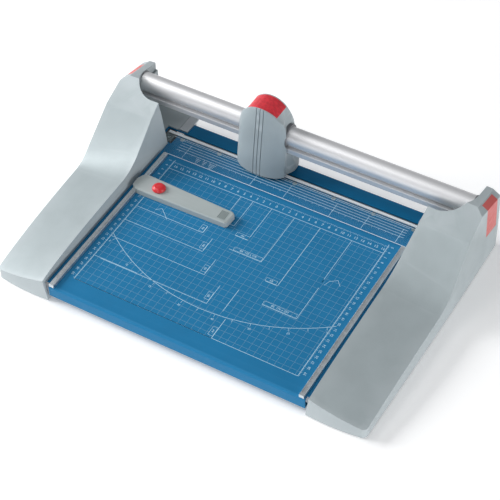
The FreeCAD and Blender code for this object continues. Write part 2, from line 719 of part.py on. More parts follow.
# ---------------------------------------------------------------- clamp
def make_clamp():
    """A clear strip with an aluminium bar on its rear edge, on two sprung guide blocks."""
    body = new_body("clamp_strip")
    plan = lift(sketch_on(body, "XY_Plane"), "table_top + clamp_lift")
    outline(plan, [
        ("-clamp_half + 6", "clamp_front"),
        ("clamp_half - 6", "clamp_front"),
        ("clamp_half", "clamp_front + 8"),
        ("clamp_half", "119"),
        ("clamp_reach", "119"),
        ("clamp_reach", "clamp_rear"),
        ("-clamp_reach", "clamp_rear"),
        ("-clamp_reach", "119"),
        ("-clamp_half", "119"),
        ("-clamp_half", "clamp_front + 8"),
    ])
    pad(body, plan, "clamp_gauge")
    top = "table_top + clamp_lift + clamp_gauge"
    bar = new_body("clamp_bar")
    section = sketch_on(bar, "YZ_Plane")
    outline(section, [
        ("clamp_rear - 3.8", top),
        ("clamp_rear", top),
        ("clamp_rear", top + " + clamp_bar_gauge"),
        ("clamp_rear - 1.2", top + " + clamp_bar_gauge"),
        ("clamp_rear - 1.5", top + " + clamp_bar_gauge - 0.6"),
        ("clamp_rear - 2.3", top + " + clamp_bar_gauge - 0.6"),
        ("clamp_rear - 2.6", top + " + clamp_bar_gauge"),
        ("clamp_rear - 3.8", top + " + clamp_bar_gauge"),
    ])
    pad(bar, section, "2 * clamp_bar_half", midplane=True)
    block = box(("post_side - 6.5", "post_back - 8", "16"), ("13", "16", "table_top + clamp_lift - 16"))
    bore = rod(("post_side", "post_back", "15"), "post_radius + run", "20")
    mirrored(keep(cut(block, bore), "right_clamp_block"), "left_clamp_block")
    cup = box(("post_side - 9", "post_back - 8", "8"), ("18", "16", "table_top - gauge - 8"))
    ears = box(("post_side - 9", "post_back - 15", "table_top - 2 * gauge"), ("18", "30", "gauge"))
    hollow = box(("post_side - 7.2", "post_back - 9", "10"), ("14.4", "18", "20"))
    seat = rod(("post_side", "post_back", "7"), "post_radius + run", "5")
    mirrored(keep(cut(fuse(cup, ears), hollow, seat), "right_clamp_bracket"), "left_clamp_bracket")
    posts = [rod((f"{side} * post_side", "post_back", "8"), "post_radius", "table_top - 8") for side in (1, -1)]
    keep(group(*posts), "clamp_guide_posts")
    spring = solid_feature("right_clamp_spring", coil(4.6, 0.45, 10.55, 15.45, 3))
    bind(spring, Placement__Base__x="post_side", Placement__Base__y="post_back")
    mirrored(spring, "left_clamp_spring")


def coil(radius, wire, low, high, turns):
    """A coil spring round +Z between two wire centres, its wire an octagon."""
    steps, sides = 14, 8
    rings = []
    for i in range(steps * turns + 1):
        turn = 2 * math.pi * i / steps
        out = Vector(math.cos(turn), math.sin(turn), 0)
        middle = out * radius + ALONG_Z * (low + (high - low) * i / (steps * turns))
        spokes = [2 * math.pi * (k + 0.5) / sides for k in range(sides)]
        ring = [middle + out * (wire * math.cos(a)) + ALONG_Z * (wire * math.sin(a)) for a in spokes]
        rings.append(Part.makePolygon(ring + ring[:1]))
    return Part.makeLoft(rings, True, True)


# ---------------------------------------------------------------- cutting head
# The housing's sections, bottom to top: height, half width, front and rear round its own middle, squareness.
HEAD_SECTIONS = [
    (0, 43, -33.5, 33.5, 2.5),
    (9, 43, -33, 33.3, 2.5),
    (19, 42.5, -32.2, 32, 2.5),
    (45, 40, -28.6, 28, 2.6),
    (76, 38, -23.8, 24.5, 2.6),
    (95, 33.5, -20.8, 18.5, 2.3),
    (114, 28, -18, 12, 2.1),
]
# Half width and height of the housing's side, bottom to top: along its front part, then round the bar.
FRONT_SIDE = [(37.2, 0), (37, 45), (36.8, 68), (36.6, 87), (36.3, 108), (33, 119.5)]
REAR_SIDE = [(43.5, 0), (43.5, 46), (36.5, 68), (31, 83), (30, 107), (26.5, 119)]
SIDE_STATIONS = [(90, FRONT_SIDE), (139, FRONT_SIDE), (152, REAR_SIDE), (215, REAR_SIDE)]
HEAD_BACK = 153.0
HEAD_SCREWS = [(-11, 81), (11, 81), (-11, 104), (11, 104)]
HEAD_SCREW_SEAT = 172.6
GROOVE_PITCH, GROOVE_WIDTH, GROOVE_DEPTH = 5.4, 1.2, 1.5


def head_section(height, half_width, front, rear, squareness, inset):
    """One closed section of the housing: a rounded rectangle between a circle and a square."""
    points = []
    count = 32
    for i in range(count):
        angle = 2 * math.pi * i / count
        c, s = math.cos(angle), math.sin(angle)
        reach = rear if s > 0 else -front
        x = (half_width - inset) * math.copysign(abs(c) ** (2 / squareness), c)
        y = (reach - inset) * math.copysign(abs(s) ** (2 / squareness), s)
        points.append(Vector(size("head_side") + x, HEAD_BACK + y, size("head_bottom") + height))
    curve = Part.BSplineCurve()
    curve.interpolate(points, PeriodicFlag=True)
    return Part.Wire(curve.toShape())


def side_outline(y, side, edge, inset):
    """The housing's front view at one place along Y, up to the cap's side edges."""
    x = size("head_side")
    right = [(half - inset, z - inset) for half, z in side] + [(size("cap_half"), edge)]
    points = [Vector(x + half, y, z) for half, z in right] + [Vector(x - half, y, z) for half, z in right[::-1]]
    return Part.makePolygon(points + points[:1])


def head_block(inset, top_inset):
    """The cutting head's outer form, or the form inside its walls."""
    body = Part.makeLoft([head_section(*row, inset) for row in HEAD_SECTIONS], True, False)
    radius = size("crown_radius") - top_inset
    middle = size("head_crest") - size("crown_radius")
    side = size("cap_half")
    edge = middle + math.sqrt(size("crown_radius") ** 2 - side ** 2) - top_inset
    flanks = Part.makeLoft([side_outline(y, line, edge, inset) for y, line in SIDE_STATIONS], True, True)
    x, near = size("head_side"), SIDE_STATIONS[0][0]
    crown = Part.makeCylinder(radius, 120, Vector(x, near, middle), ALONG_Y)
    strip = Part.makeBox(2 * side, 120, 40, Vector(x - side, near, edge - 10))
    return body.common(flanks.fuse(crown.common(strip)))


def make_head_housing():
    """Front and rear housing halves and the red cap set into their top."""
    x = size("head_side")
    wall = size("head_wall")
    outer = head_block(0, 0)
    cavity = head_block(wall, wall + 3)
    cap_space = Part.makeBox(2 * size("cap_half"), 120, 40, Vector(x - size("cap_half"), 90, 126))
    cap_form = head_block(1.6, 0).common(cap_space).cut(head_block(0, 3))
    cap = biggest(cap_form)
    shell = outer.cut(cavity).cut(cap)
    shell = shell.cut(Part.makeCylinder(16.5, 120, Vector(x - 60, size("bar_back"), size("bar_height")), ALONG_X))
    shell = shell.cut(bar_form(10, 13.8, 1, x - 60, x + 60))
    for side in (1, -1):
        axis = Vector(x + side * 29, size("bar_back"), size("bar_height"))
        shell = shell.cut(Part.makeCone(16.8, 18.8, 2, axis, ALONG_X * side))
        shell = shell.cut(Part.makeCylinder(18.8, 20, axis + ALONG_X * side * 1.99, ALONG_X * side))
    boss_holes = []
    for dx, height in HEAD_SCREWS:
        seat = Vector(x + dx, HEAD_SCREW_SEAT, height)
        boss = Part.makeCylinder(5, 40, seat, ALONG_Y).common(outer)
        shell = shell.fuse(boss)
        boss_holes.append(Part.makeCylinder(1.6, 40, seat, ALONG_Y))
        boss_holes.append(Part.makeCylinder(3.3, 40, seat + ALONG_Y * 1.6, ALONG_Y))
    shell = shell.cut(boss_holes)
    for i in (-1, 0, 1):
        shell = shell.cut(groove(x + GROOVE_PITCH * i))
    split = Part.makeBox(200, 100, 200, Vector(x - 100, size("bar_back") - 100, 0))
    solid_feature("carriage_front_shell", biggest(shell.common(split)))
    solid_feature("carriage_rear_shell", biggest(shell.cut(split)))
    solid_feature("grip_cap", cap)


def groove(x):
    """A shallow groove up the leaning front face."""
    low = x - GROOVE_WIDTH / 2
    line = [Vector(low, HEAD_BACK + row[2] + GROOVE_DEPTH, size("head_bottom") + row[0]) for row in HEAD_SECTIONS]
    line[0] -= ALONG_Z
    return prism([line[0] - ALONG_Y * 8, *line, line[-1] - ALONG_Y * 8], ALONG_X * GROOVE_WIDTH)


def make_head_inside():
    """The block that rides the bar, its bushes, the blade's pin and the rollers' pins."""
    ring = box(("head_side - 17", "bar_back - 17", "66.9"), ("34", "34", "40.6"))
    arm = box(("head_side - 26", "blade_back + 9.4", "34.5"), ("52", "4", "33"))
    head, rail = bar_cutters("head_side - 30", "60", "bar_radius + 0.4", "flange_half + 0.4",
                             "flange_top - flange_gauge - 0.4", "flange_top + 0.4")
    axle_hole = rod(("head_side", "bar_back - 10", "blade_height"), "axle_radius + run", "20", "y")
    pin_holes = [rod((f"head_side + {side} * roller_side", "bar_back - 10", "roller_height"), 2 + 0.05, "20", "y")
                 for side in (1, -1)]
    screw_holes = [rod((f"head_side + {dx}", HEAD_SCREW_SEAT - 5.5, height), 1.55, 6, "y")
                   for dx, height in HEAD_SCREWS]
    keep(cut(fuse(ring, arm), head, rail, axle_hole, *pin_holes, *screw_holes), "carriage_frame")
    for label, low in (("left_slide_bush", "head_side - 34.3"), ("right_slide_bush", "head_side + 17.1")):
        sleeve = rod((low, "bar_back", "bar_height"), "bar_radius + 2.9", "17.2", "x")
        head, rail = bar_cutters(low + " - 1", "20", "bar_radius + run", "flange_half + 0.3",
                                 "flange_top - flange_gauge - 8", "flange_top + 0.3")
        keep(cut(sleeve, head, rail), label)
    pins = [rod((f"head_side + {side} * roller_side", "clamp_rear - 9", "roller_height"), 2, "24", "y")
            for side in (1, -1)]
    keep(group(*pins), "roller_pins")
    screws = []
    for dx, height in HEAD_SCREWS:
        head_end = rod((f"head_side + {dx}", HEAD_SCREW_SEAT + 1.6, height), 3, 1.8, "y")
        shank = rod((f"head_side + {dx}", HEAD_SCREW_SEAT - 5, height), 1.5, 7, "y")
        screws.append(fuse(head_end, shank))
    keep(group(*screws), "carriage_screws")
    blade_pin = new_body("blade_axle")
    profile = sketch_on(blade_pin, "XY_Plane")
    outline(profile, [("0", "136"), ("5.5", "136"), ("5.5", "138.8"), ("axle_radius", "138.8"),
                      ("axle_radius", "154.5"), ("0", "154.5")])
    revolve(blade_pin, profile, "V_Axis")
    bind(blade_pin, Placement__Base__x="head_side", Placement__Base__z="blade_height")


def make_blade():
    """The round blade with its bevelled rim, its hub and bush, the spring washer and the press rollers."""
    def turned(label, corners):
        body = new_body(label)
        profile = sketch_on(body, "XY_Plane")
        outline(profile, corners)
        revolve(body, profile, "V_Axis")
        return bind(body, Placement__Base__x="head_side", Placement__Base__z="blade_height")

    turned("rotary_blade", [
        ("5 + run", "blade_back"),
        ("blade_radius", "blade_back"),
        ("blade_radius - 2.6", "blade_back + blade_gauge"),
        ("5 + run", "blade_back + blade_gauge"),
    ])
    turned("blade_hub", [
        ("4 + run", "blade_back - 1"),
        ("5", "blade_back - 1"),
        ("5", "blade_back + blade_gauge"),
        ("9", "blade_back + blade_gauge"),
        ("9", "blade_back + blade_gauge + 2.4"),
        ("6.5", "blade_back + blade_gauge + 3.4"),
        ("6.5", "blade_back + 6.6"),
        ("4 + run", "blade_back + 6.6"),
    ])
    turned("hub_bush", [
        ("axle_radius + run", "blade_back - 1"),
        ("4", "blade_back - 1"),
        ("4", "blade_back + 6.6"),
        ("axle_radius + run", "blade_back + 6.6"),
    ])
    turned("blade_spring_washer", [
        ("axle_radius + 0.2", "blade_back + 8.5"),
        ("axle_radius + 0.2", "blade_back + 9.3"),
        ("6.2", "blade_back + 7.5"),
        ("6.2", "blade_back + 6.7"),
    ])
    for label, side in (("left_press_roller", -1), ("right_press_roller", 1)):
        body = turned(label, [
            ("2 + run", "clamp_rear - 8"),
            ("roller_radius - 0.6", "clamp_rear - 8"),
            ("roller_radius", "clamp_rear - 7.4"),
            ("roller_radius", "clamp_rear - 1.1"),
            ("roller_radius - 0.6", "clamp_rear - 0.5"),
            ("2 + run", "clamp_rear - 0.5"),
        ])
        bind(body, Placement__Base__x=f"head_side + {side} * roller_side", Placement__Base__z="roller_height")


# ---------------------------------------------------------------- backstop
RIB_COUNT = 5


def make_backstop():
    """An arm that hooks over the left guide, with a shoe that the knob draws against it."""
    body = new_body("backstop_arm")
    plan = lift(sketch_on(body, "XY_Plane"), "table_top + 0.3")
    outline(plan, [
        ("stop_left + 18", "stop_front - 0.5"),
        ("stop_left + stop_length", "stop_front + 1.5"),
        ("stop_left + stop_length + 3", "stop_front + 5"),
        ("stop_left + stop_length + 4", "stop_front + stop_width - 8"),
        ("stop_left + stop_length", "stop_front + stop_width - 4.5"),
        ("stop_left + 14", "stop_front + stop_width + 1"),
        ("stop_left + 7", "stop_front + stop_width - 3"),
        ("stop_left + 3", "stop_front + stop_width / 2 + 3"),
        ("stop_left + 4", "stop_front + 6"),
        ("stop_left + 9", "stop_front + 1"),
    ])
    arm = pad(body, plan, "stop_height")
    top = size("table_top") + 0.3 + size("stop_height")
    bevel_edges(body, arm, 1.6, lambda e: abs(e.CenterOfMass.z - top) < 0.01)
    channel = sketch_on(body, "XZ_Plane")
    rectangle(channel, "-guide_inner - guide_width - 0.3", "table_top", "0.3 - guide_inner",
              "table_top + guide_gauge + 0.3")
    pocket_through(body, channel)
    shoe_bay = sketch_on(body, "XY_Plane")
    rectangle(shoe_bay, "knob_side - 9", "knob_back - 7", "knob_side + 7", "knob_back + 7")
    bay = body.newObject("PartDesign::Pocket", "Pocket")
    bay.Profile = shoe_bay
    bay.Reversed = True
    bind(bay, Length="table_top + 5.5")
    ribs = lift(sketch_on(body, "XY_Plane"), top)
    for i in range(RIB_COUNT):
        low = f"stop_left + stop_length - {4 + 2.4 * i}"
        rectangle(ribs, low, "stop_front + 6", low + " + 1.1", "stop_front + stop_width - 9")
    grip = body.newObject("PartDesign::Pocket", "Pocket")
    grip.Profile = ribs
    grip.Length = 0.9
    stud_hole = sketch_on(body, "XY_Plane")
    circle(stud_hole, "knob_side", "knob_back", 2.3)
    pocket_through(body, stud_hole)
    shoe = box(("knob_side - 8.6", "knob_back - 6.6", "table_top + 0.4"), ("15.2", "13.2", "4"))
    thread = rod(("knob_side", "knob_back", "table_top"), 2.05, "8")
    keep(cut(shoe, thread), "stop_clamp_shoe")
    stud = new_body("knob_stud")
    profile = sketch_on(stud, "XZ_Plane")
    outline(profile, [("0", "table_top + 0.5"), ("2", "table_top + 0.5"), ("2", "table_top + stop_height + 3"),
                      ("0", "table_top + stop_height + 3")])
    revolve(stud, profile, "V_Axis")
    bind(stud, Placement__Base__x="knob_side", Placement__Base__y="knob_back")
    knob = new_body("stop_knob")
    profile = sketch_on(knob, "XZ_Plane")
    seat = "table_top + stop_height + 0.5"
    outline(profile, [("2.05", seat), ("knob_radius - 0.8", seat), ("knob_radius", seat + " + 0.8"),
                      ("knob_radius", seat + " + 2.2"), ("knob_radius - 1.4", seat + " + 4.2"),
                      ("knob_radius - 4", seat + " + 5.6"), ("0", seat + " + 6.2"), ("0", seat + " + 2.6"),
                      ("2.05", seat + " + 2.6")])
    revolve(knob, profile, "V_Axis")
    bind(knob, Placement__Base__x="knob_side", Placement__Base__y="knob_back")


# ---------------------------------------------------------------- assembly
make_table()
make_rails()
for end_name, end in (("front", -1), ("rear", 1)):
    for side_name, side in (("left", -1), ("right", 1)):
        make_foot(f"foot_{end_name}_{side_name}", side, end)
make_cutter_bed()
make_counter_blade()
make_side_guides()
make_cheeks()
make_bar()
make_brackets()
make_clamp()
make_head_housing()
make_head_inside()
make_blade()
make_backstop()
doc.recompute()

# ---------------------------------------------------------------- checks and export
failed = [o.Label for o in doc.Objects if "Invalid" in o.State or "Error" in o.State]
if failed:
    raise RuntimeError(f"these objects failed: {failed}")
for part in parts:
    if part.Shape.isNull() or not part.Shape.isValid():
        raise RuntimeError(f"{part.Label} has no valid shape")
os.makedirs("parts", exist_ok=True)
for part in parts:
    part.Shape.exportStep(f"parts/{part.Label}.step")
print(f"{len(parts)} sub-parts written")
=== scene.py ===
"""Rotary paper trimmer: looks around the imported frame.

Metres, in the frame's own axes: X along the cut, +Y to the back, +Z up.
"""

import math

import bmesh
import bpy
from mathutils import Matrix, Vector


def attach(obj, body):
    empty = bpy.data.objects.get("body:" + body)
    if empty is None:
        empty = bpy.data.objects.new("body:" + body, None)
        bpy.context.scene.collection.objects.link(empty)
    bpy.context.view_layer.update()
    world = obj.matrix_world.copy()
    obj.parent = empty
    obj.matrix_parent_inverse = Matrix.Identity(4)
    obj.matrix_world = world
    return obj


MM = 0.001
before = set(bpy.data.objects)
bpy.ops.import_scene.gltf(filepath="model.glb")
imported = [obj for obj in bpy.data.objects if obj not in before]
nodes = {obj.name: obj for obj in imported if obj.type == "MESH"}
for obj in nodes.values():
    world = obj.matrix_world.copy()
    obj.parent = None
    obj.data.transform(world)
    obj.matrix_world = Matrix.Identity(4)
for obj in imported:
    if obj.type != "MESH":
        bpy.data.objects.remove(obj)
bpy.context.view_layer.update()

# ---------------------------------------------------------------- places, in millimetres
CUT_LINE = 140.0      # how far back the cut runs
CUT_HALF = 180.5      # from the middle to either side guide
TABLE_TOP = 28.0
CLAMP_TOP = 30.72     # just above the clear strip
GUIDE_TOP = 33.01     # just above the side guides
PRINT_HEIGHT = 0.03   # how far printed lines stand up
LAYER = 0.01          # how far rulers and formats lie above the grid


# ---------------------------------------------------------------- materials
def node(tree, kind, **values):
    """A shader node with its inputs and settings filled in."""
    made = tree.nodes.new(kind)
    for key, value in values.items():
        if key in made.inputs:
            made.inputs[key].default_value = value
        else:
            setattr(made, key, value)
    return made


def grain(tree, size, detail=3.0, stretch=(1, 1, 1)):
    """Noise whose grain is about size metres, in the object's own space."""
    place = node(tree, "ShaderNodeTexCoord")
    scale = node(tree, "ShaderNodeMapping")
    scale.inputs["Scale"].default_value = stretch
    noise = node(tree, "ShaderNodeTexNoise", Scale=1 / size, Detail=detail)
    tree.links.new(place.outputs["Object"], scale.inputs["Vector"])
    tree.links.new(scale.outputs["Vector"], noise.inputs["Vector"])
    return noise.outputs["Fac"]


def remap(tree, value, low, high, start=0.0, end=1.0):
    """A value's span from start to end, spread over low to high."""
    made = node(tree, "ShaderNodeMapRange")
    made.inputs["From Min"].default_value = start
    made.inputs["From Max"].default_value = end
    made.inputs["To Min"].default_value = low
    made.inputs["To Max"].default_value = high
    tree.links.new(value, made.inputs["Value"])
    return made.outputs["Result"]


def mixed(tree, factor, first, second):
    """Two colours, or a shader output and a colour, blended by a factor."""
    made = node(tree, "ShaderNodeMix", data_type="RGBA")
    for slot, value in ((6, first), (7, second)):
        if isinstance(value, tuple):
            made.inputs[slot].default_value = (*value, 1)
        else:
            tree.links.new(value, made.inputs[slot])
    tree.links.new(factor, made.inputs[0])
    return made.outputs[2]


def surface(name, color, rough, metal=0.0, tone=0.06, tone_size=0.03, rough_spread=0.08, rough_size=0.006,
            bumps=(), edge_wear_and_highlight=0.0, edge_wear_and_highlight_color=(0.8, 0.8, 0.8), stretch=(1, 1, 1), **extra):
    """A moulded, painted or metal surface: clouded colour, uneven gloss, fine relief and lighter sharp
    edges, which are worn edges on most surfaces and a painted highlight on the blue table.
    """
    mat = bpy.data.materials.new(name)
    mat.use_nodes = True
    tree = mat.node_tree
    shader = tree.nodes["Principled BSDF"]
    shader.inputs["Metallic"].default_value = metal
    for key, value in extra.items():
        shader.inputs[key.replace("_", " ")].default_value = value
    darker = tuple(c * (1 - tone) for c in color)
    lighter = tuple(min(1, c * (1 + tone)) for c in color)
    cloud = remap(tree, grain(tree, tone_size, stretch=stretch), 0, 1, 0.35, 0.65)
    paint = mixed(tree, cloud, darker, lighter)
    # Sharp edges blend towards a lighter colour: wear on most surfaces, a painted highlight on the blue
    # table.
    if edge_wear_and_highlight:
        sharp = node(tree, "ShaderNodeNewGeometry").outputs["Pointiness"]
        edge_wear_and_highlight_mask = remap(tree, sharp, 0, edge_wear_and_highlight, 0.52, 0.62)
        paint = mixed(tree, edge_wear_and_highlight_mask, paint, edge_wear_and_highlight_color)
    tree.links.new(paint, shader.inputs["Base Color"])
    unevenness = grain(tree, rough_size, stretch=stretch)
    gloss = remap(tree, unevenness, rough - rough_spread, rough + rough_spread, 0.3, 0.7)
    tree.links.new(gloss, shader.inputs["Roughness"])
    before = None
    for size, height, run in bumps:
        bump = node(tree, "ShaderNodeBump", Strength=1.0, Distance=height)
        tree.links.new(grain(tree, size, 2.0, run), bump.inputs["Height"])
        if before:
            tree.links.new(before, bump.inputs["Normal"])
        before = bump.outputs["Normal"]
    if before:
        tree.links.new(before, shader.inputs["Normal"])
    return mat


# Each look is its colour, its roughness and what varies them.
# A bump is its grain's size and its height, in metres, and how the grain is stretched.
EVEN = (1, 1, 1)
GREY = surface("cheek_grey", (0.366, 0.418, 0.432), 0.48, metal=0.15, tone=0.03, rough_spread=0.02,
               bumps=[(0.0006, 0.00004, EVEN)], edge_wear_and_highlight=0.3, edge_wear_and_highlight_color=(0.62, 0.66, 0.69))
HEAD_GREY = surface("head_grey", (0.325, 0.375, 0.395), 0.42, tone=0.03, bumps=[(0.0006, 0.00004, EVEN)],
                    edge_wear_and_highlight=0.3, edge_wear_and_highlight_color=(0.60, 0.64, 0.66))
# The blue's lighter edge colour is a painted highlight along the table's sharp edges, such as the front
# skirt.
BLUE = surface("table_blue", (0.0005, 0.130, 0.290), 0.42, tone=0.04, bumps=[(0.0012, 0.00003, EVEN)],
               edge_wear_and_highlight=0.3, edge_wear_and_highlight_color=(0.06, 0.28, 0.52), Specular_IOR_Level=0.12)
RED = surface("trim_red", (0.60, 0.022, 0.030), 0.34, tone=0.05, bumps=[(0.0006, 0.00003, EVEN)],
              edge_wear_and_highlight=0.3, edge_wear_and_highlight_color=(0.75, 0.12, 0.12))
ACCENT = surface("accent_red", (0.52, 0.080, 0.075), 0.40, tone=0.05, bumps=[(0.0006, 0.00003, EVEN)],
                 edge_wear_and_highlight=0.3, edge_wear_and_highlight_color=(0.75, 0.25, 0.22))
WHITE_RAIL = surface("clamp_rail_pale", (0.74, 0.79, 0.82), 0.42, metal=0.3, tone=0.03,
                     bumps=[(0.0008, 0.00002, (0.02, 1, 1))], edge_wear_and_highlight=0.3, edge_wear_and_highlight_color=(0.9, 0.9, 0.9))
CAP = surface("cap_red_grained", (0.58, 0.026, 0.040), 0.46, tone=0.14, tone_size=0.004,
              bumps=[(0.0022, 0.00045, EVEN), (0.0007, 0.00010, EVEN)], edge_wear_and_highlight=0.3, edge_wear_and_highlight_color=(0.80, 0.22, 0.24))
BAR = surface("bar_satin", (0.74, 0.74, 0.75), 0.46, metal=0.6, tone=0.03, rough_spread=0.05,
              bumps=[(0.0006, 0.000012, (0.01, 1, 1))], stretch=(0.02, 1, 1))
ALUMINIUM = surface("guide_aluminium", (0.50, 0.56, 0.60), 0.42, metal=1.0, tone=0.05,
                    bumps=[(0.0008, 0.00002, (1, 0.02, 1))], edge_wear_and_highlight=0.3, edge_wear_and_highlight_color=(0.9, 0.9, 0.9))
STEEL = surface("ground_steel", (0.56, 0.57, 0.59), 0.30, metal=1.0, tone=0.06,
                bumps=[(0.0005, 0.00002, (0.03, 1, 1))])
DARK_STEEL = surface("dark_steel", (0.05, 0.05, 0.055), 0.5, metal=0.4, bumps=[(0.001, 0.00004, EVEN)],
                     edge_wear_and_highlight=0.3, edge_wear_and_highlight_color=(0.3, 0.3, 0.3))
BLACK = surface("black_plastic", (0.035, 0.036, 0.040), 0.5, bumps=[(0.0007, 0.00008, EVEN)],
                edge_wear_and_highlight=0.4, edge_wear_and_highlight_color=(0.35, 0.36, 0.38))
RUBBER = surface("foot_rubber", (0.02, 0.02, 0.02), 0.8, bumps=[(0.0009, 0.00010, EVEN)])
BRASS = surface("bush_brass", (0.66, 0.48, 0.20), 0.35, metal=1.0, bumps=[(0.0006, 0.00002, EVEN)])
STOP = surface("stop_grey", (0.31, 0.36, 0.36), 0.40, tone=0.03, bumps=[(0.0006, 0.00004, EVEN)],
               edge_wear_and_highlight=0.3, edge_wear_and_highlight_color=(0.62, 0.64, 0.64))
PRINT = surface("print_white", (0.46, 0.68, 0.82), 0.6, tone=0.04, tone_size=0.002,
                bumps=[(0.0004, 0.00001, EVEN)])
GRID = surface("print_pale", (0.17, 0.33, 0.48), 0.6, tone=0.06, tone_size=0.002,
               bumps=[(0.0004, 0.00001, EVEN)])
# A painted highlight: pale strokes along the clear strip's edges stand for light caught there.
STRIP_EDGE_HIGHLIGHT = surface("painted_edge_highlight", (0.80, 0.90, 0.95), 0.5, tone=0.04, tone_size=0.002,
                bumps=[(0.0004, 0.00001, EVEN)])
INK = surface("print_dark", (0.10, 0.11, 0.12), 0.6, tone=0.1, bumps=[(0.0004, 0.00001, EVEN)])


def clear_plastic():
    """Thin clear sheet: see-through with a tint, glossier at a grazing angle, with uneven rub marks."""
    mat = bpy.data.materials.new("clamp_clear")
    mat.use_nodes = True
    tree = mat.node_tree
    for old in list(tree.nodes):
        tree.nodes.remove(old)
    out = node(tree, "ShaderNodeOutputMaterial")
    through = node(tree, "ShaderNodeBsdfTransparent", Color=(0.93, 0.985, 0.99, 1))
    gloss = node(tree, "ShaderNodeBsdfGlossy", Color=(0.95, 0.98, 1.0, 1))
    rub = remap(tree, grain(tree, 0.004, 4.0), 0.05, 0.22, 0.35, 0.65)
    tree.links.new(rub, gloss.inputs["Roughness"])
    bump = node(tree, "ShaderNodeBump", Strength=0.5, Distance=0.00005)
    tree.links.new(grain(tree, 0.02, 2.0), bump.inputs["Height"])
    tree.links.new(bump.outputs["Normal"], gloss.inputs["Normal"])
    facing = node(tree, "ShaderNodeLayerWeight", Blend=0.5).outputs["Facing"]
    edge = node(tree, "ShaderNodeMath", operation="POWER")
    tree.links.new(facing, edge.inputs[0])
    edge.inputs[1].default_value = 5.0
    shine = remap(tree, edge.outputs[0], 0.02, 0.9)
    blend = node(tree, "ShaderNodeMixShader")
    tree.links.new(shine, blend.inputs[0])
    tree.links.new(through.outputs[0], blend.inputs[1])
    tree.links.new(gloss.outputs[0], blend.inputs[2])
    tree.links.new(blend.outputs[0], out.inputs["Surface"])
    return mat


CLEAR = clear_plastic()

# Nodes not named here are feet, which are rubber, and screws and other small steel.
LOOKS = {
    "base_table": BLUE,
    "right_cheek_shell": GREY, "left_cheek_shell": GREY,
    "carriage_front_shell": HEAD_GREY, "carriage_rear_shell": HEAD_GREY,
    "right_accent_cap": ACCENT, "left_accent_cap": ACCENT, "stop_knob": RED, "grip_cap": CAP,
    "guide_bar": BAR, "carriage_frame": BAR,
    "right_side_guide": ALUMINIUM, "left_side_guide": ALUMINIUM,
    "right_rear_guide": ALUMINIUM, "left_rear_guide": ALUMINIUM, "clamp_bar": WHITE_RAIL,
    "cutter_bed": ALUMINIUM, "bar_end_plugs": ALUMINIUM,
    "clamp_strip": CLEAR, "backstop_arm": STOP, "hub_bush": BRASS,
    "right_base_rail": DARK_STEEL, "left_base_rail": DARK_STEEL,
    "right_bar_bracket": DARK_STEEL, "left_bar_bracket": DARK_STEEL,
    "right_clamp_bracket": DARK_STEEL, "left_clamp_bracket": DARK_STEEL,
    "right_bar_grommet": BLACK, "left_bar_grommet": BLACK,
    "right_clamp_block": BLACK, "left_clamp_block": BLACK,
    "right_slide_bush": BLACK, "left_slide_bush": BLACK, "stop_clamp_shoe": BLACK,
    "left_press_roller": RUBBER, "right_press_roller": RUBBER,
}
for name, thing in nodes.items():
    look = LOOKS.get(name, RUBBER if name.startswith("foot_") else STEEL)
    thing.data.materials.clear()
    thing.data.materials.append(look)


def smooth_shading():
    """A geometry group that shades every face smooth."""
    group = bpy.data.node_groups.new("all_smooth", "GeometryNodeTree")
    group.interface.new_socket("Geometry", in_out="INPUT", socket_type="NodeSocketGeometry")
    group.interface.new_socket("Geometry", in_out="OUTPUT", socket_type="NodeSocketGeometry")
    start = group.nodes.new("NodeGroupInput")
    smooth = group.nodes.new("GeometryNodeSetShadeSmooth")
    end = group.nodes.new("NodeGroupOutput")
    group.links.new(start.outputs[0], smooth.inputs["Geometry"])
    group.links.new(smooth.outputs[0], end.inputs[0])
    return group


ALL_SMOOTH = smooth_shading()


WELD_GAP = 0.002
AREA_WEIGHT = 50


def soften(name, width, segments=3, angle=28):
    """Rounds a CAD node's edges sharper than angle with modifiers, which leave its mesh as it is."""
    thing = nodes[name]
    weld = thing.modifiers.new("weld", "WELD")
    weld.merge_threshold = WELD_GAP * MM
    bevel = thing.modifiers.new("round", "BEVEL")
    bevel.width = width * MM
    bevel.segments = segments
    bevel.limit_method = "ANGLE"
    bevel.angle_limit = math.radians(angle)
    bevel.use_clamp_overlap = True
    smooth = thing.modifiers.new("smooth", "NODES")
    smooth.node_group = ALL_SMOOTH
    shading = thing.modifiers.new("shading", "WEIGHTED_NORMAL")
    shading.weight = AREA_WEIGHT


# ---------------------------------------------------------------- printed lines and numbers
def piece(name, mesh, body, look):
    """A visual piece that moves with a body."""
    made = bpy.data.objects.new(name, mesh)
    bpy.context.collection.objects.link(made)
    mesh.materials.append(look)
    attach(made, body)


def stroke(shape, start, end, width, z):
    """A thin raised line between two points, in millimetres."""
    a, b = Vector(start), Vector(end)
    along = (b - a).normalized()
    side = Vector((-along.y, along.x)) * (width / 2)
    corners = [a - side, b - side, b + side, a + side]
    low = [shape.verts.new((c.x * MM, c.y * MM, z * MM)) for c in corners]
    top = [shape.verts.new((c.x * MM, c.y * MM, (z + PRINT_HEIGHT) * MM)) for c in corners]
    shape.faces.new(low[::-1])
    shape.faces.new(top)
    for i in range(4):
        j = (i + 1) % 4
        shape.faces.new((low[i], low[j], top[j], top[i]))


def frame_box(shape, x, y, wide, high, width, z):
    """Four strokes round a small label."""
    left, right, low, top = x - wide / 2, x + wide / 2, y - high / 2, y + high / 2
    for a, b in (((left, low), (right, low)), ((right, low), (right, top)),
                 ((right, top), (left, top)), ((left, top), (left, low))):
        stroke(shape, a, b, width, z)


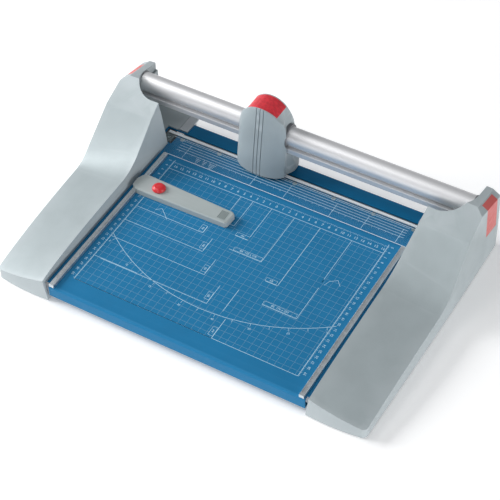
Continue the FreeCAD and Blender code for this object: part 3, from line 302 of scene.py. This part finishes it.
def letters(shape, text, x, y, size, z, turn=0.0):
    """Adds a number or label as thin raised letters, centred on a point."""
    curve = bpy.data.curves.new("label", "FONT")
    curve.body = text
    curve.size = size * MM
    curve.align_x = "CENTER"
    curve.align_y = "CENTER"
    curve.extrude = PRINT_HEIGHT / 2 * MM
    curve.resolution_u = 2
    holder = bpy.data.objects.new("label", curve)
    bpy.context.collection.objects.link(holder)
    bpy.context.view_layer.update()
    mesh = bpy.data.meshes.new_from_object(holder.evaluated_get(bpy.context.evaluated_depsgraph_get()))
    place = Matrix.Translation((x * MM, y * MM, (z + PRINT_HEIGHT / 2) * MM))
    mesh.transform(place @ Matrix.Rotation(turn, 4, "Z"))
    shape.from_mesh(mesh)
    bpy.data.objects.remove(holder)
    bpy.data.curves.remove(curve)
    bpy.data.meshes.remove(mesh)


def mesh_from(shape, name):
    """Turns a finished bmesh into a mesh."""
    mesh = bpy.data.meshes.new(name)
    shape.to_mesh(mesh)
    shape.free()
    return mesh


def table_x(across):
    """X of a distance across the table from the left guide."""
    return across - CUT_HALF


def table_y(ahead):
    """Y of a distance ahead of the cut line."""
    return CUT_LINE - ahead


def tick_length(mark, whole, half, single):
    """How long a ruler's mark is, at a whole centimetre, a half or a millimetre."""
    return whole if mark % 10 == 0 else half if mark % 5 == 0 else single


# Edges of the printed area, as distances across from the left guide and ahead of the cut line.
GRID_LEFT, GRID_RIGHT = 13.5, 344.5
GRID_REAR, GRID_FRONT = 64.0, 297.0
GRID_WIDTH = 0.3


def make_grid():
    """Centimetre squares over the table."""
    shape = bmesh.new()
    for i in range(-16, 17):
        x = i * 10
        stroke(shape, (x, table_y(GRID_FRONT)), (x, table_y(GRID_REAR)), GRID_WIDTH, TABLE_TOP)
    for k in range(7, 30):
        y = table_y(k * 10)
        stroke(shape, (table_x(GRID_LEFT), y), (table_x(GRID_RIGHT), y), GRID_WIDTH, TABLE_TOP)
    piece("table_grid", mesh_from(shape, "table_grid"), "base", GRID)


# Corners of the paper-format lines, measured as the grid's edges are:
# first where a line starts, then its corner, then where it ends.
FORMATS_RIGHT = [
    ((129, 64), (129, 105), (121, 105)), ((148, 64), (148, 116), (140, 116)),
    ((177, 64), (177, 130), (158, 130)), ((212, 64), (212, 155), (163, 155)),
    ((251, 64), (251, 181), (233, 181)), ((298, 64), (298, 148), (298, 142)),
    ((299, 158), (299, 218), (249, 218)),
]
FORMATS_LEFT = [
    ((14, 147), (118, 147), (118, 134)), ((14, 176), (135, 176), (135, 150)),
    ((14, 210), (158, 210), (158, 180)), ((24, 251), (186, 251), (186, 216)),
    ((14, 297), (221, 297), (221, 262)), ((15, 250), (80, 250), (80, 250.5)),
    ((211, 211), (211, 252), (211.5, 252)),
]
# Middle, width, height and text of the small labels in the corners.
LABELS = [
    (114, 139.5, 7, 12, "A6"), (131, 166, 7, 12, "B6"), (154, 200, 7, 12, "A5"), (182, 238, 7, 13, "B5"),
    (217, 286, 7, 15, "A4"), (167.5, 126.5, 19, 6, "A6"), (190, 151, 42, 6, "B6  125 x 176"),
    (240, 177.5, 16, 6, "A5"), (273, 214, 48, 6, "B5  176 x 250"),
]
SMALL_ANGLES = [
    [(40, 141), (47, 135), (63, 149)],
    [(303, 151), (306, 142), (315, 135), (322, 143)],
]
FORMAT_WIDTH, LABEL_WIDTH, ANGLE_WIDTH, ARC_WIDTH, DEGREE_WIDTH = 0.55, 0.35, 0.5, 0.6, 0.4
SMALL_TEXT = 4.4

# The arc of degrees: its middle, its lowest point ahead, its half width and how far it rises to its ends.
ARC_MIDDLE, ARC_RISE, ARC_REACH, ARC_DEPTH = 181.0, 262.0, 168.0, 58
ARC_STEPS = 72
DEGREE_MARKS, DEGREE_LENGTH, DEGREE_TEXT = 7, 5, 9


def joined(shape, points, width, z):
    """Strokes from point to point, measured as the grid's edges are."""
    spots = [(table_x(x), table_y(y)) for x, y in points]
    for start, end in zip(spots, spots[1:]):
        stroke(shape, start, end, width, z)


def make_formats():
    """Paper-format lines with their labels, two small angles and the arc of degrees."""
    shape = bmesh.new()
    z = TABLE_TOP + LAYER
    for points in FORMATS_RIGHT + FORMATS_LEFT:
        joined(shape, points, FORMAT_WIDTH, z)
    for x, y, wide, high, text in LABELS:
        frame_box(shape, table_x(x), table_y(y), wide, high, LABEL_WIDTH, z)
        turn = math.pi / 2 if high > wide else 0
        letters(shape, text, table_x(x), table_y(y), SMALL_TEXT, z, turn)
    for points in SMALL_ANGLES:
        joined(shape, points, ANGLE_WIDTH, z)
    radius = (ARC_REACH ** 2 + ARC_DEPTH ** 2) / (2 * ARC_DEPTH)
    middle = ARC_RISE - radius
    span = math.asin(ARC_REACH / radius)
    turns = [span * (2 * i / ARC_STEPS - 1) for i in range(ARC_STEPS + 1)]
    arc = [(ARC_MIDDLE + radius * math.sin(a), middle + radius * math.cos(a)) for a in turns]
    joined(shape, arc, ARC_WIDTH, z)
    for i in range(-DEGREE_MARKS, DEGREE_MARKS + 1):
        a = span * i / (DEGREE_MARKS + 0.5)
        s, c = math.sin(a), math.cos(a)
        mark = [(ARC_MIDDLE + r * s, middle + r * c) for r in (radius, radius + DEGREE_LENGTH)]
        joined(shape, mark, DEGREE_WIDTH, z)
        if i % 2:
            out = radius + DEGREE_TEXT
            letters(shape, str(5 * (i + DEGREE_MARKS + 1)), table_x(ARC_MIDDLE + out * s),
                    table_y(middle + out * c), SMALL_TEXT, z, a)
    piece("table_formats", mesh_from(shape, "table_formats"), "base", PRINT)


# Rulers: how far ahead of the cut line the rear marks and numbers are, and how far behind the printed
# area's rear edge the side lines start.
REAR_MARKS, REAR_NUMBERS = 50, 57.5
SIDE_LINE_START = 17
SIDE_LINE_WIDTH, CROSS_LINE_WIDTH, TICK_WIDTH = 0.7, 0.6, 0.22
REAR_NUMBER_SIZE, SIDE_NUMBER_SIZE = 6.0, 5.0
RIGHT_NUMBER_GAP, LEFT_NUMBER_GAP = 6.4, 6.2
# Lengths of the marks at whole centimetres, halves and millimetres.
REAR_TICKS, SIDE_TICKS, SCALE_TICKS = (3.6, 2.6, 1.6), (3.2, 2.2, 1.4), (3.4, 2.6, 1.8)


def make_rulers():
    """The printed area's outline and the rulers along its rear and sides, with their numbers."""
    shape = bmesh.new()
    z = TABLE_TOP + LAYER
    left, right = table_x(GRID_LEFT), table_x(GRID_RIGHT)
    rear, front = table_y(GRID_REAR), table_y(GRID_FRONT)
    stroke(shape, (left, front), (left, rear + SIDE_LINE_START), SIDE_LINE_WIDTH, z)
    stroke(shape, (right, front), (right, rear + SIDE_LINE_START), SIDE_LINE_WIDTH, z)
    stroke(shape, (left, rear), (right, rear), CROSS_LINE_WIDTH, z)
    stroke(shape, (left, front), (right, front), CROSS_LINE_WIDTH, z)
    marks = table_y(REAR_MARKS)
    for i in range(-165, 166):
        stroke(shape, (i, marks), (i, marks - tick_length(i, *REAR_TICKS)), TICK_WIDTH, z)
    for i in range(-16, 17):
        letters(shape, str(abs(i)), i * 10, table_y(REAR_NUMBERS), REAR_NUMBER_SIZE, z)
    for k in range(REAR_MARKS, 298):
        long = tick_length(k, *SIDE_TICKS)
        y = table_y(k)
        stroke(shape, (left, y), (left - long, y), TICK_WIDTH, z)
        stroke(shape, (right, y), (right + long, y), TICK_WIDTH, z)
    for k in range(5, 30):
        y = table_y(k * 10)
        letters(shape, str(k), right + RIGHT_NUMBER_GAP, y, SIDE_NUMBER_SIZE, z, math.pi / 2)
        letters(shape, str(k), left - LEFT_NUMBER_GAP, y, SIDE_NUMBER_SIZE, z, math.pi / 2)
    piece("table_rulers", mesh_from(shape, "table_rulers"), "base", PRINT)


# The clear strip's print: long lines by their Y, cross lines by their distance from the left guide.
STRIP_LINES = (110.8, 115.5, 120.2, 124.9, 129.6)
STRIP_CROSSES = (20, 129, 180.5, 251, 299, 350)
STRIP_HALF, CROSS_FRONT, CROSS_REAR = 176, 99, 126
STRIP_TICK = 2.5
STRIP_LINE_WIDTH, STRIP_CROSS_WIDTH, STRIP_TICK_WIDTH, DASH_WIDTH = 0.6, 0.5, 0.4, 0.7
# Four rows of three dashes stand for the small print: where each dash starts and ends.
DASHES = ((-142, -134), (-131, -124), (-121, -110))
DASH_ROWS, DASH_REAR, DASH_PITCH = 4, 107.2, 2.6
# Half length, Y and width of the painted highlights along the strip's front and rear edges.
STRIP_EDGE_HIGHLIGHTS = ((187, 97.5, 0.7), (192, 132.2, 0.5))


def make_clamp_print():
    """Fine lines on the clear strip, and painted highlights along its front and rear edges."""
    shape = bmesh.new()
    z = CLAMP_TOP
    for y in STRIP_LINES:
        stroke(shape, (-STRIP_HALF, y), (STRIP_HALF, y), STRIP_LINE_WIDTH, z)
    for across in STRIP_CROSSES:
        x = table_x(across)
        stroke(shape, (x, CROSS_FRONT), (x, CROSS_REAR), STRIP_CROSS_WIDTH, z)
    for i in range(-17, 18):
        x = i * 10
        stroke(shape, (x, STRIP_LINES[0] - STRIP_TICK), (x, STRIP_LINES[0]), STRIP_TICK_WIDTH, z)
    for row in range(DASH_ROWS):
        for start, end in DASHES:
            y = DASH_REAR - DASH_PITCH * row
            stroke(shape, (start + row, y), (end - row, y), DASH_WIDTH, z)
    piece("clamp_lines", mesh_from(shape, "clamp_lines"), "clamp", PRINT)
    # Pale strokes on top of the strip's front and rear edges are painted highlights.
    edge = bmesh.new()
    for half, y, width in STRIP_EDGE_HIGHLIGHTS:
        stroke(edge, (-half, y), (half, y), width, z)
    piece("clamp_edge_highlights", mesh_from(edge, "clamp_edge_highlights"), "clamp", STRIP_EDGE_HIGHLIGHT)


# The side guides' marks: from where to where ahead of the cut line, how far in and how wide.
SCALE_START, SCALE_END = 50, 320
SCALE_INSET, SCALE_WIDTH = 1.0, 0.2


def make_guide_scales():
    """Millimetre marks on top of the side guides."""
    for name, side in (("right_guide_scale", 1), ("left_guide_scale", -1)):
        shape = bmesh.new()
        start = side * (CUT_HALF + SCALE_INSET)
        for k in range(SCALE_START, SCALE_END):
            end = start + side * tick_length(k, *SCALE_TICKS)
            stroke(shape, (start, table_y(k)), (end, table_y(k)), SCALE_WIDTH, GUIDE_TOP)
        piece(name, mesh_from(shape, name), "base", INK)


make_grid()
make_rulers()
make_formats()
make_guide_scales()
make_clamp_print()
for name in ("carriage_front_shell", "carriage_rear_shell"):
    soften(name, 1.0, angle=24)
soften("grip_cap", 0.6)
soften("guide_bar", 0.6, angle=40)
for name in ("right_accent_cap", "left_accent_cap", "clamp_strip", "right_base_rail", "left_base_rail",
             "right_bar_bracket", "left_bar_bracket", "counter_blade", "cutter_bed"):
    soften(name, 0.3, segments=2, angle=40)


# ---------------------------------------------------------------- floor, light and camera
def make_floor():
    """A plain pale floor, attached to no body."""
    shape = bmesh.new()
    bmesh.ops.create_grid(shape, x_segments=1, y_segments=1, size=6)
    floor = bpy.data.objects.new("floor", mesh_from(shape, "floor"))
    bpy.context.collection.objects.link(floor)
    floor.data.materials.append(surface("floor_pale", (0.92, 0.92, 0.92), 0.9, tone=0.01, tone_size=0.3,
                                        Emission_Color=(1, 1, 1, 1), Emission_Strength=0.2))


# Name, place and size of each soft box in metres, and its power in watts; all of them face LIGHT_AIM.
LIGHTS = [
    ("key", (-4.30, -0.60, 2.20), (2.6, 2.2), 265),
    ("top", (-0.85, -0.30, 2.00), (1.6, 0.8), 9),
    ("front", (0.5, -2.4, 0.6), (1.8, 0.6), 16),
    ("right", (3.6, -0.3, 0.45), (1.6, 0.7), 60),
]
LIGHT_AIM = (0, 0, 0.05)
SKY_COLOR, SKY_STRENGTH = (0.93, 0.96, 1.0, 1), 0.28


def area_light(name, spot, size, power):
    """A rectangular soft box turned to the object."""
    lamp = bpy.data.lights.new(name, "AREA")
    lamp.shape = "RECTANGLE"
    lamp.size, lamp.size_y = size
    lamp.energy = power
    holder = bpy.data.objects.new(name, lamp)
    holder.location = spot
    holder.rotation_euler = (Vector(LIGHT_AIM) - Vector(spot)).to_track_quat("-Z", "Y").to_euler()
    bpy.context.collection.objects.link(holder)


def make_light():
    """Pale sky and four soft boxes, the strongest from the left."""
    bpy.context.scene.view_settings.view_transform = "Standard"
    world = bpy.data.worlds.new("studio")
    world.use_nodes = True
    background = world.node_tree.nodes["Background"]
    background.inputs["Color"].default_value = SKY_COLOR
    background.inputs["Strength"].default_value = SKY_STRENGTH
    bpy.context.scene.world = world
    for light in LIGHTS:
        area_light(*light)


# The photograph's viewpoint: the eye in metres, the directions right and up, and the lens in millimetres.
EYE = (0.74496, -1.22202, 1.57523)
EYE_RIGHT = (0.86639602, 0.49896952, -0.01968126)
EYE_UP = (-0.35574079, 0.64439758, 0.67690490)
LENS, SENSOR_WIDTH = 115.08, 36.0


def make_camera():
    """The camera at the photograph's viewpoint."""
    right, up = Vector(EYE_RIGHT), Vector(EYE_UP)
    back = right.cross(up)
    lens = bpy.data.cameras.new("camera")
    lens.sensor_width = SENSOR_WIDTH
    lens.lens = LENS
    camera = bpy.data.objects.new("camera", lens)
    turn = Matrix((right, up, back)).transposed().to_4x4()
    camera.matrix_world = Matrix.Translation(EYE) @ turn
    bpy.context.collection.objects.link(camera)
    bpy.context.scene.camera = camera


make_floor()
make_light()
make_camera()
